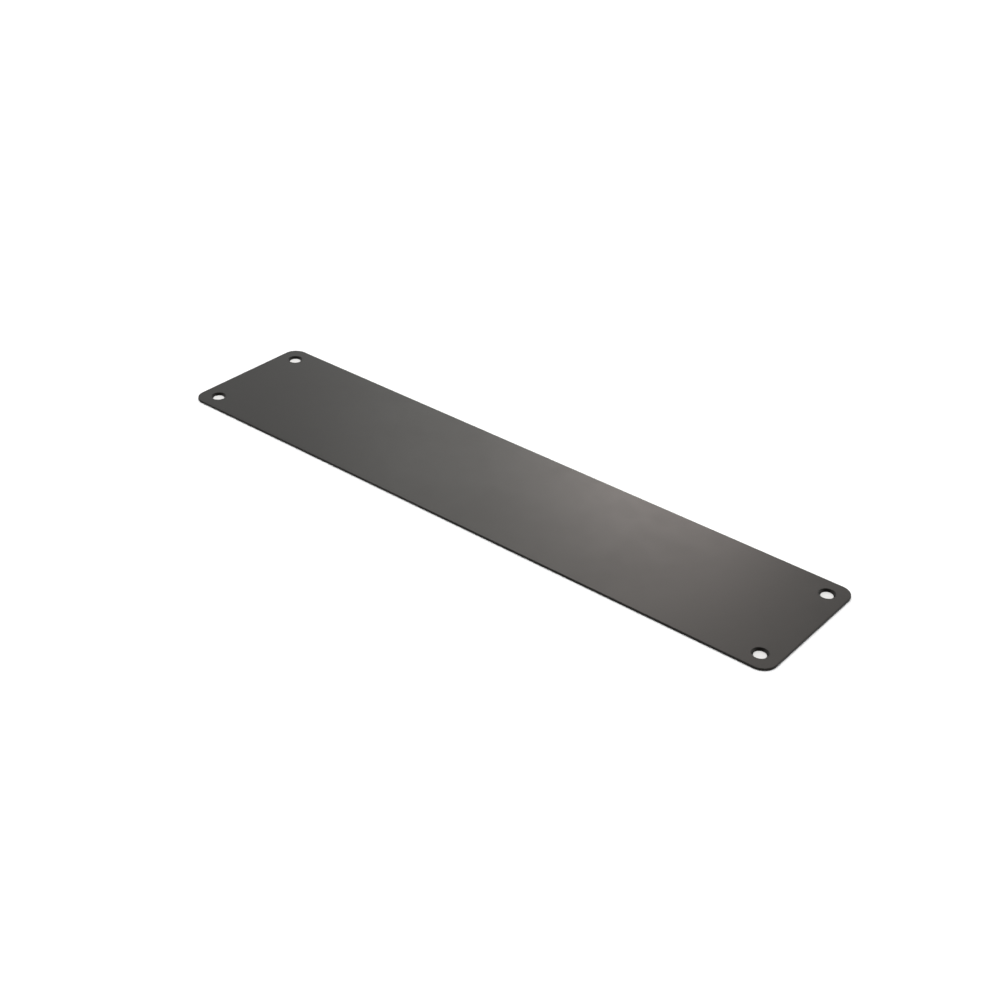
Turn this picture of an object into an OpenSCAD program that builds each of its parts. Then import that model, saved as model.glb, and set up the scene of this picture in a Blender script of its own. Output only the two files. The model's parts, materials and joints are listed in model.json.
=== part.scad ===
// Screw-on door protection plate: one flat piece of coated sheet steel with rounded corners,
// eased edges and a countersunk screw hole near each corner.
// The origin is the middle of the back face, the face that lies on the door.
// X runs along the plate, Y across it, and +Z points out of the door, through the front face.

/* [Plate] */
// Length of the plate
plate_length = 350; // [150:1:900]
// Width of the plate
plate_width = 75; // [50:1:300]
// Thickness of the sheet, with its coating
plate_thickness = 1.2; // [1:0.1:3]
// Radius of the corners, seen from the front
corner_r = 7; // [2:0.5:20]
// Radius that rounds over the front and back edges of the rim
edge_r = 0.25; // [0.1:0.05:0.4]

/* [Screw holes] */
// Distance from each side of the plate to a hole's centre
hole_inset = 9.5; // [8:0.5:20]
// Diameter of the drilled bore, where it is left below the countersink
bore_d = 5.8; // [4:0.1:7]
// Diameter of the countersink at the front face
sink_d = 7.8; // [7.5:0.1:12]
// Included angle of the countersink
sink_angle = 90; // [80:1:100]

/* [Hidden] */
$fn = 96;
// How far a cutter runs past the faces that it cuts
overrun = 1;
coating = [0.16, 0.155, 0.15];

// Depth of the full cone below the front face. Where that is deeper than the sheet, the back face
// cuts it off.
sink_depth = (sink_d / 2) / tan(sink_angle / 2);
hole_x = plate_length / 2 - hole_inset;
hole_y = plate_width / 2 - hole_inset;

// Section of the sheet from a corner's centre out to the rim, with both rim edges rounded over.
module rim_section() {
    square([corner_r - edge_r, plate_thickness]);
    translate([0, edge_r])
        square([corner_r, plate_thickness - 2 * edge_r]);
    for (z = [edge_r, plate_thickness - edge_r])
        translate([corner_r - edge_r, z])
            intersection() {
                circle(r = edge_r);
                translate([0, -edge_r])
                    square([edge_r, 2 * edge_r]);
            }
}

// Quarter turn of the rim about the centre of the corner in the +X +Y quadrant.
module rim_corner() {
    translate([plate_length / 2 - corner_r, plate_width / 2 - corner_r])
        rotate_extrude(angle = 90)
            rim_section();
}

// Straight run of the rim, centred on the +Y side at a distance reach from the middle.
module rim_side(reach, run) {
    translate([-run / 2, reach - corner_r])
        rotate([90, 0, 90])
            linear_extrude(run)
                rim_section();
}

// The sheet before it is drilled.
module blank() {
    inner = [plate_length - 2 * corner_r, plate_width - 2 * corner_r, plate_thickness];
    translate([-inner[0] / 2, -inner[1] / 2, 0])
        cube(inner);
    for (turn = [0, 180])
        rotate(turn) {
            rim_side(plate_width / 2, inner[0]);
            rotate(90)
                rim_side(plate_length / 2, inner[1]);
            rim_corner();
            mirror([1, 0, 0])
                rim_corner();
        }
}

// Cutter for one screw hole: a straight bore with a countersink from the front.
module screw_hole() {
    translate([0, 0, -overrun])
        cylinder(d = bore_d, h = plate_thickness + 2 * overrun);
    translate([0, 0, plate_thickness - sink_depth])
        cylinder(d1 = 0, d2 = sink_d, h = sink_depth);
    translate([0, 0, plate_thickness])
        cylinder(d = sink_d, h = overrun);
}

module plate() {
    color(coating)
        difference() {
            blank();
            for (x = [-hole_x, hole_x], y = [-hole_y, hole_y])
                translate([x, y, 0])
                    screw_hole();
        }
}

plate();
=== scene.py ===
"""Looks of the kick plate: a dark satin coated steel plate that lies on its back on a white floor.

Everything is in metres, in the CAD frame: the back face lies on z = 0, and +Z points out of the front.
"""

import json
import math

import bpy
from mathutils import Matrix, Vector
from mathutils.geometry import delaunay_2d_cdt


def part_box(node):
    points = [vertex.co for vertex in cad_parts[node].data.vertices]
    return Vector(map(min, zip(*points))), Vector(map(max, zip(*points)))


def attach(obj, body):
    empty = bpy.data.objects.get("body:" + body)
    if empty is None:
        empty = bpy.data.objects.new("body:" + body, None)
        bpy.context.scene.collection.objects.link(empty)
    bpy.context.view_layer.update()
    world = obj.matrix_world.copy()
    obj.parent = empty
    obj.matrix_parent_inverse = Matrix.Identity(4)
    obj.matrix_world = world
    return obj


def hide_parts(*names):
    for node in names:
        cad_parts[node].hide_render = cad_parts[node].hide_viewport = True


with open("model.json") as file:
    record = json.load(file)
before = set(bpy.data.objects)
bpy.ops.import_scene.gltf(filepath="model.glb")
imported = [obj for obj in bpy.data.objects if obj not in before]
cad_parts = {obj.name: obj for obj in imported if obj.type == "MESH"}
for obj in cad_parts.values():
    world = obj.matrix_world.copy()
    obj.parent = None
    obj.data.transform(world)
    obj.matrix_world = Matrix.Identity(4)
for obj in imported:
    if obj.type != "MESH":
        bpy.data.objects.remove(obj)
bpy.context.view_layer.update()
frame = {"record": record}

MM = 0.001

# The plate's shape. What the frame states is read from it, and the rest repeats part.scad.
LOW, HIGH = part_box("plate")
HOLES = next(m for m in frame["record"]["mounts"] if m["name"] == "screw_holes")["dims"]
HALF_X = HIGH.x
HALF_Y = HIGH.y
THICKNESS = HIGH.z - LOW.z
HOLE_X = HOLES["spacing_x_mm"] * MM / 2
HOLE_Y = HOLES["spacing_y_mm"] * MM / 2
BORE_R = HOLES["hole_r_mm"] * MM
CORNER_R = 7 * MM
EDGE_R = 0.25 * MM
SINK_R = 3.9 * MM
SINK_SLOPE = math.radians(45)     # of the countersink's wall, from the front face
LIP_R = 0.08 * MM                 # the coat rounds the edges of each screw hole

# How finely the mesh follows the shape
CORNER_STEPS = 24
EDGE_STEPS = 6
LIP_STEPS = 4
HOLE_STEPS = 96
FACE_CELL = 5 * MM                # spacing of the points inside the flat faces
FACE_MARGIN = FACE_CELL / 3       # how far those points stay from corners and screw holes
INSIDE_ONLY = 1                   # delaunay_2d_cdt keeps only triangles within the outer ring
MERGE_DISTANCE = 1e-9             # delaunay_2d_cdt joins points that are closer than this

# The coat. Each pair is a low and a high value.
CLOUD_SIZE = 60 * MM
SMUDGE_SIZE = 9 * MM
PEEL_SIZE = 1.6 * MM
GRAIN_SIZE = 0.35 * MM
CLOUD_LEVELS = (0.3, 0.7)         # the noise levels between which the clouds work
SMUDGE_LEVELS = (0.35, 0.75)
CLOUD_ROUGHNESS = (0.325, 0.362)
SMUDGE_ROUGHNESS = (-0.012, 0.016)
PEEL_DEPTH = 0.0035 * MM
GRAIN_DEPTH = 0.0012 * MM
COAT_COLOURS = ((0.003, 0.0027, 0.0024), (0.005, 0.0045, 0.004))
COAT_IOR = 1.338
COAT_TINT = (0.97, 0.94, 0.87)
COAT_SPECULAR = 0.5
RIM_SPECULAR_SHADE = 0.34               # painted shade: the rim's reflection is turned down so the rim reads darker than the faces
RIM_ROUGHNESS = 0.12              # added on the rim
GLOSSY_WIDTH = 1.2 * MM           # the coat pulls smoother this close to an edge
GLOSSY_ROUGHNESS = -0.05          # added there

# The floor, and a grey sheet under the plate whose colour is painted shade: it stands for the shaded
# floor seen through the screw holes
FLOOR_HALF = 20.0                 # half a side of the floor
FLOOR_COLOUR = (0.9, 0.9, 0.9)
SHADE_CARD_COLOUR = (0.65, 0.645, 0.635)
SHADE_CARD_INSET = 4 * MM               # from the plate's outline
SHEET_GAP = 0.02 * MM             # between the plate, the card and the floor
MATT_ROUGHNESS = 0.95
MATT_SPECULAR = 0.1

# The studio.
SURROUND = 1.0                    # radiance of the white studio
DARK_CEILING = 0.03               # radiance of the dark ceiling, which is on the camera's side
DARK_ELEVATION = 58               # of the middle of the dark ceiling
DARK_ANGLES = (28, 56)            # degrees from its middle where it is darkest, and where it ends
OVERHEAD = 2.15                   # irradiance of the soft light from above
OVERHEAD_ELEVATION = 80           # on the far side of the plate
OVERHEAD_ANGLE = 40               # degrees across
OVERHEAD_DISTANCE = 3
PANEL_DISTANCE = 1.6
BACK_STRIP = {"azimuth": 207.4, "elevation": 25.8, "width": 0.26, "height": 0.115,
              "power": 2.84, "colour": (1.0, 0.88, 0.85)}
BACK_PANEL = {"azimuth": 216.8, "elevation": 31.1, "width": 0.49, "height": 0.305,
              "power": 1.44, "colour": (1.0, 1.0, 0.97)}

CAMERA_AZIMUTH = 38.42
CAMERA_ELEVATION = 32.49
CAMERA_ROLL = 1.71                # degrees
CAMERA_DISTANCE = 0.7598
CAMERA_TARGET = Vector((0.00828, -0.00695, 0))
CAMERA_LENS = 57.37
CAMERA_CLIP = (0.01, 100)


# ---------------------------------------------------------------- mesh

def arc(centre, radius, start, end, steps):
    """Profile points on an arc, as (out, z, normal out, normal z). Angles in degrees from +out."""
    points = []
    for i in range(steps + 1):
        a = math.radians(start + (end - start) * i / steps)
        c, s = math.cos(a), math.sin(a)
        points.append((centre[0] + radius * c, centre[1] + radius * s, c, s))
    return points


def rim_profile():
    """The rim's section from the front face to the back face. Out is measured from the outline."""
    return (arc((-EDGE_R, THICKNESS - EDGE_R), EDGE_R, 90, 0, EDGE_STEPS)
            + arc((-EDGE_R, EDGE_R), EDGE_R, 0, -90, EDGE_STEPS))


def hole_profile():
    """A screw hole's section from the front face to the back face. Out is the radius.

    The material lies outside the hole, so the normals lean towards the axis."""
    slope = math.degrees(SINK_SLOPE)
    tangent = LIP_R * math.tan(SINK_SLOPE / 2)
    cone_end = THICKNESS - (SINK_R - BORE_R) * math.tan(SINK_SLOPE)
    lip = (SINK_R + tangent, THICKNESS - LIP_R)
    shoulder = (BORE_R + LIP_R, cone_end - tangent)
    back = (BORE_R + LIP_R, LIP_R)
    return (arc(lip, LIP_R, 90, 90 + slope, LIP_STEPS)
            + arc(shoulder, LIP_R, 90 + slope, 180, LIP_STEPS)
            + arc(back, LIP_R, 180, 270, LIP_STEPS))


def rim_ring(out, z, normal_out, normal_z):
    """Points and normals round the rounded outline, moved out by the given distance."""
    points, normals = [], []
    reach = CORNER_R + out
    for corner in range(4):
        side_x = 1 if corner in (0, 3) else -1
        side_y = 1 if corner in (0, 1) else -1
        centre = (side_x * (HALF_X - CORNER_R), side_y * (HALF_Y - CORNER_R))
        for i in range(CORNER_STEPS + 1):
            a = math.radians(90 * (corner + i / CORNER_STEPS))
            c, s = math.cos(a), math.sin(a)
            points.append((centre[0] + reach * c, centre[1] + reach * s, z))
            normals.append((normal_out * c, normal_out * s, normal_z))
    return points, normals


def hole_ring(centre, radius, z, normal_out, normal_z):
    """Points and normals round one screw hole."""
    points, normals = [], []
    for i in range(HOLE_STEPS):
        a = 2 * math.pi * i / HOLE_STEPS
        c, s = math.cos(a), math.sin(a)
        points.append((centre[0] + radius * c, centre[1] + radius * s, z))
        normals.append((normal_out * c, normal_out * s, normal_z))
    return points, normals


def face_grid():
    """Points inside the flat faces, clear of the rounded corners and of the screw holes."""
    columns = round(2 * HALF_X / FACE_CELL)
    rows = round(2 * HALF_Y / FACE_CELL)
    points = []
    for i in range(1, columns):
        for j in range(1, rows):
            x = -HALF_X + 2 * HALF_X * i / columns
            y = -HALF_Y + 2 * HALF_Y * j / rows
            past_x = abs(x) - (HALF_X - CORNER_R)
            past_y = abs(y) - (HALF_Y - CORNER_R)
            in_corner = min(past_x, past_y) > 0 and math.hypot(past_x, past_y) > CORNER_R - FACE_MARGIN
            from_axis = math.hypot(abs(x) - HOLE_X, abs(y) - HOLE_Y)
            if not in_corner and from_axis > SINK_R + FACE_MARGIN:
                points.append((x, y))
    return points


class Surface:
    """Collects vertices with their exact normals, and faces."""

    def __init__(self):
        self.points, self.normals, self.faces = [], [], []

    def add(self, points, normals):
        first = len(self.points)
        self.points += points
        self.normals += normals
        return list(range(first, len(self.points)))

    def bands(self, rings, flip):
        """Quads between each ring and the next one. All have the same number of points."""
        for upper, lower in zip(rings, rings[1:]):
            for i in range(len(upper)):
                j = (i + 1) % len(upper)
                quad = (upper[i], lower[i], lower[j], upper[j])
                self.faces.append(quad[::-1] if flip else quad)

    def flat(self, rings, z, normal_z):
        """A flat face between the outer ring and the hole rings, with a grid of points inside."""
        ids = [i for ring in rings for i in ring]
        outline = [Vector(self.points[i][:2]) for i in ids]
        edges, first = [], 0
        for ring in rings:
            n = len(ring)
            edges += [(first + i, first + (i + 1) % n) for i in range(n)]
            first += n
        inner = face_grid()
        ids += self.add([(x, y, z) for x, y in inner], [(0, 0, normal_z)] * len(inner))
        found = delaunay_2d_cdt(outline + [Vector(p) for p in inner], edges, [],
                                INSIDE_ONLY, MERGE_DISTANCE)
        triangles, sources = found[2], found[3]
        holes = [set(ring) for ring in rings[1:]]
        for triangle in triangles:
            face = [ids[sources[i][0]] for i in triangle]
            if any(set(face) <= hole for hole in holes):
                continue  # it spans a screw hole
            self.faces.append(face if normal_z > 0 else face[::-1])


def make_plate():
    """The plate as one closed mesh, with exact normals."""
    surface = Surface()
    rings = [surface.add(*rim_ring(*section)) for section in rim_profile()]
    surface.bands(rings, flip=False)
    front, back = [rings[0]], [rings[-1]]
    for x in (-HOLE_X, HOLE_X):
        for y in (-HOLE_Y, HOLE_Y):
            rings = [surface.add(*hole_ring((x, y), *section)) for section in hole_profile()]
            surface.bands(rings, flip=True)
            front.append(rings[0])
            back.append(rings[-1])
    surface.flat(front, THICKNESS, 1)
    surface.flat(back, 0, -1)

    mesh = bpy.data.meshes.new("kick_plate")
    mesh.from_pydata(surface.points, [], surface.faces)
    mesh.validate()
    mesh.polygons.foreach_set("use_smooth", [True] * len(mesh.polygons))
    mesh.normals_split_custom_set_from_vertices(surface.normals)
    mesh.update()
    plate = bpy.data.objects.new("kick_plate", mesh)
    bpy.context.scene.collection.objects.link(plate)
    return plate


# ---------------------------------------------------------------- materials

class Nodes:
    """Short calls for building the node tree of a material or of the world."""

    def __init__(self, owner, shader_name):
        owner.use_nodes = True
        self.owner = owner
        self.tree = owner.node_tree
        self.shader = self.tree.nodes[shader_name]

    def node(self, kind, **values):
        made = self.tree.nodes.new(kind)
        for name, value in values.items():
            setattr(made, name, value)
        return made

    def put(self, socket, value):
        """Links or sets a socket."""
        if isinstance(value, bpy.types.NodeSocket):
            self.tree.links.new(value, socket)
        else:
            socket.default_value = value

    def shade(self, name, value):
        """Links or sets an input of the shader."""
        self.put(self.shader.inputs[name], value)

    def math(self, operation, a, b=0.0, c=0.0):
        made = self.node("ShaderNodeMath", operation=operation)
        for socket, value in zip(made.inputs, (a, b, c)):
            self.put(socket, value)
        return made.outputs[0]

    def noise(self, place, size, detail=2.0, roughness=0.5):
        """Noise from about 0 to 1, with lumps of about the given size in metres."""
        made = self.node("ShaderNodeTexNoise")
        self.put(made.inputs["Vector"], place)
        self.put(made.inputs["Scale"], 1 / size)
        self.put(made.inputs["Detail"], detail)
        self.put(made.inputs["Roughness"], roughness)
        return made.outputs[0]

    def remap(self, value, levels, results):
        """Maps the range of levels onto the range of results, and holds still beyond its ends."""
        made = self.node("ShaderNodeMapRange", clamp=True)
        for socket, given in zip(made.inputs, (value, *levels, *results)):
            self.put(socket, given)
        return made.outputs[0]

    def mix(self, factor, colours):
        """A colour between two, each given as red, green and blue."""
        made = self.node("ShaderNodeMix", data_type="RGBA")
        self.put(made.inputs["Factor"], factor)
        sockets = [i for i in made.inputs if i.type == "RGBA"]
        for socket, colour in zip(sockets, colours):
            self.put(socket, (*colour, 1))
        return [o for o in made.outputs if o.type == "RGBA"][0]

    def bump(self, height, distance, normal=None):
        made = self.node("ShaderNodeBump")
        self.put(made.inputs["Height"], height)
        self.put(made.inputs["Distance"], distance)
        if normal is not None:
            self.put(made.inputs["Normal"], normal)
        return made.outputs[0]


def material_nodes(name):
    return Nodes(bpy.data.materials.new(name), "Principled BSDF")


def length(n, a, b):
    """Length of the flat vector (a, b)."""
    return n.math("SQRT", n.math("ADD", n.math("MULTIPLY", a, a), n.math("MULTIPLY", b, b)))


def edge_distances(n, place):
    """How far a point of the coat is from the plate's outline and from a countersink's mouth."""
    split = n.node("ShaderNodeSeparateXYZ")
    n.put(split.inputs[0], place)
    x = n.math("ABSOLUTE", split.outputs[0])
    y = n.math("ABSOLUTE", split.outputs[1])
    corner_x = n.math("MAXIMUM", n.math("SUBTRACT", x, HALF_X - CORNER_R), 0.0)
    corner_y = n.math("MAXIMUM", n.math("SUBTRACT", y, HALF_Y - CORNER_R), 0.0)
    to_outline = n.math("SUBTRACT", CORNER_R, length(n, corner_x, corner_y))
    from_axis = length(n, n.math("SUBTRACT", x, HOLE_X), n.math("SUBTRACT", y, HOLE_Y))
    return to_outline, n.math("ABSOLUTE", n.math("SUBTRACT", from_axis, SINK_R))


def coat_material():
    """Satin near-black coating: fine orange peel, faint clouding, glossier edges, a rougher rim, and
    painted shade on the rim, whose reflection is turned down.
    """
    n = material_nodes("coated_steel")
    place = n.node("ShaderNodeTexCoord").outputs["Object"]
    clouds = n.noise(place, CLOUD_SIZE, detail=3)
    smudges = n.noise(place, SMUDGE_SIZE, detail=4, roughness=0.6)
    peel = n.noise(place, PEEL_SIZE)
    grain = n.noise(place, GRAIN_SIZE)
    to_outline, to_mouth = edge_distances(n, place)
    near_edge = n.remap(n.math("MINIMUM", to_outline, to_mouth), (0.0, GLOSSY_WIDTH), (1.0, 0.0))
    rim = n.remap(to_outline, (0.0, EDGE_R), (1.0, 0.0))

    roughness = n.math("ADD", n.remap(clouds, CLOUD_LEVELS, CLOUD_ROUGHNESS),
                       n.remap(smudges, SMUDGE_LEVELS, SMUDGE_ROUGHNESS))
    roughness = n.math("MULTIPLY_ADD", near_edge, GLOSSY_ROUGHNESS, roughness)
    roughness = n.math("MULTIPLY_ADD", rim, RIM_ROUGHNESS, roughness)
    n.shade("Base Color", n.mix(smudges, COAT_COLOURS))
    n.shade("Roughness", roughness)
    n.shade("IOR", COAT_IOR)
    # painted shade: the specular level falls on the rim, which darkens its reflection
    n.shade("Specular IOR Level", n.remap(rim, (0.0, 1.0), (COAT_SPECULAR, RIM_SPECULAR_SHADE)))
    n.shade("Specular Tint", (*COAT_TINT, 1))
    n.shade("Normal", n.bump(grain, GRAIN_DEPTH, n.bump(peel, PEEL_DEPTH)))
    return n.owner


def matt_material(name, colour):
    n = material_nodes(name)
    n.shade("Base Color", (*colour, 1))
    n.shade("Roughness", MATT_ROUGHNESS)
    n.shade("Specular IOR Level", MATT_SPECULAR)
    return n.owner


# ---------------------------------------------------------------- stage, light and camera

def direction(azimuth, elevation):
    """Unit vector from the plate."""
    a, e = math.radians(azimuth), math.radians(elevation)
    return Vector((math.sin(a) * math.cos(e), -math.cos(a) * math.cos(e), math.sin(e)))


def make_sheet(name, half_x, half_y, z, material):
    """A flat rectangle of the stage."""
    corners = [(-1, -1), (1, -1), (1, 1), (-1, 1)]
    mesh = bpy.data.meshes.new(name)
    mesh.from_pydata([(x * half_x, y * half_y, z) for x, y in corners], [], [(0, 1, 2, 3)])
    mesh.materials.append(material)
    sheet = bpy.data.objects.new(name, mesh)
    bpy.context.scene.collection.objects.link(sheet)


def make_stage():
    """A white floor, and a grey sheet under the plate whose colour is painted shade for the floor seen
    through the screw holes.
    """
    make_sheet("floor", FLOOR_HALF, FLOOR_HALF, -2 * SHEET_GAP,
               matt_material("white_floor", FLOOR_COLOUR))
    # painted shade: the grey sheet under the plate darkens what shows through the screw holes
    make_sheet("shade_card", HALF_X - SHADE_CARD_INSET, HALF_Y - SHADE_CARD_INSET, -SHEET_GAP,
               matt_material("painted_shade_card", SHADE_CARD_COLOUR))


def make_world():
    """A white studio, with a dark ceiling on the camera's side."""
    n = Nodes(bpy.data.worlds.new("studio"), "Background")
    towards = n.node("ShaderNodeVectorMath", operation="DOT_PRODUCT")
    n.put(towards.inputs[0], n.node("ShaderNodeTexCoord").outputs["Generated"])
    n.put(towards.inputs[1], direction(CAMERA_AZIMUTH, DARK_ELEVATION))
    inner, outer = (math.cos(math.radians(angle)) for angle in DARK_ANGLES)
    n.shade("Color", (1, 1, 1, 1))
    n.shade("Strength", n.remap(towards.outputs["Value"], (outer, inner), (SURROUND, DARK_CEILING)))
    bpy.context.scene.world = n.owner


def make_light(name, kind, place, power, colour=(1, 1, 1)):
    """A light at place that faces the plate."""
    data = bpy.data.lights.new(name, kind)
    data.energy = power
    data.color = colour
    light = bpy.data.objects.new(name, data)
    light.location = place
    light.rotation_euler = (-place).to_track_quat("-Z", "Y").to_euler()
    light.visible_camera = False
    bpy.context.scene.collection.objects.link(light)
    return light


def make_panel(name, azimuth, elevation, width, height, power, colour):
    """A soft rectangular light that the front face reflects."""
    panel = make_light(name, "AREA", direction(azimuth, elevation) * PANEL_DISTANCE, power, colour)
    panel.data.shape = "RECTANGLE"
    panel.data.size = width
    panel.data.size_y = height


def make_lights():
    place = direction(CAMERA_AZIMUTH + 180, OVERHEAD_ELEVATION) * OVERHEAD_DISTANCE
    overhead = make_light("overhead", "SUN", place, OVERHEAD)
    overhead.data.angle = math.radians(OVERHEAD_ANGLE)
    make_panel("back_strip", **BACK_STRIP)
    make_panel("back_panel", **BACK_PANEL)


def make_camera():
    data = bpy.data.cameras.new("camera")
    data.lens = CAMERA_LENS
    data.clip_start, data.clip_end = CAMERA_CLIP
    camera = bpy.data.objects.new("camera", data)
    back = direction(CAMERA_AZIMUTH, CAMERA_ELEVATION)
    turn = (-back).to_track_quat("-Z", "Y").to_matrix()
    roll = Matrix.Rotation(math.radians(CAMERA_ROLL), 3, "Z")
    camera.matrix_world = (Matrix.Translation(CAMERA_TARGET + back * CAMERA_DISTANCE)
                           @ (turn @ roll).to_4x4())
    bpy.context.scene.collection.objects.link(camera)
    bpy.context.scene.camera = camera


plate = make_plate()
plate.data.materials.append(coat_material())
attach(plate, "root")
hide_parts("plate")

make_stage()
make_world()
make_lights()
make_camera()
bpy.context.scene.view_settings.view_transform = "Standard"
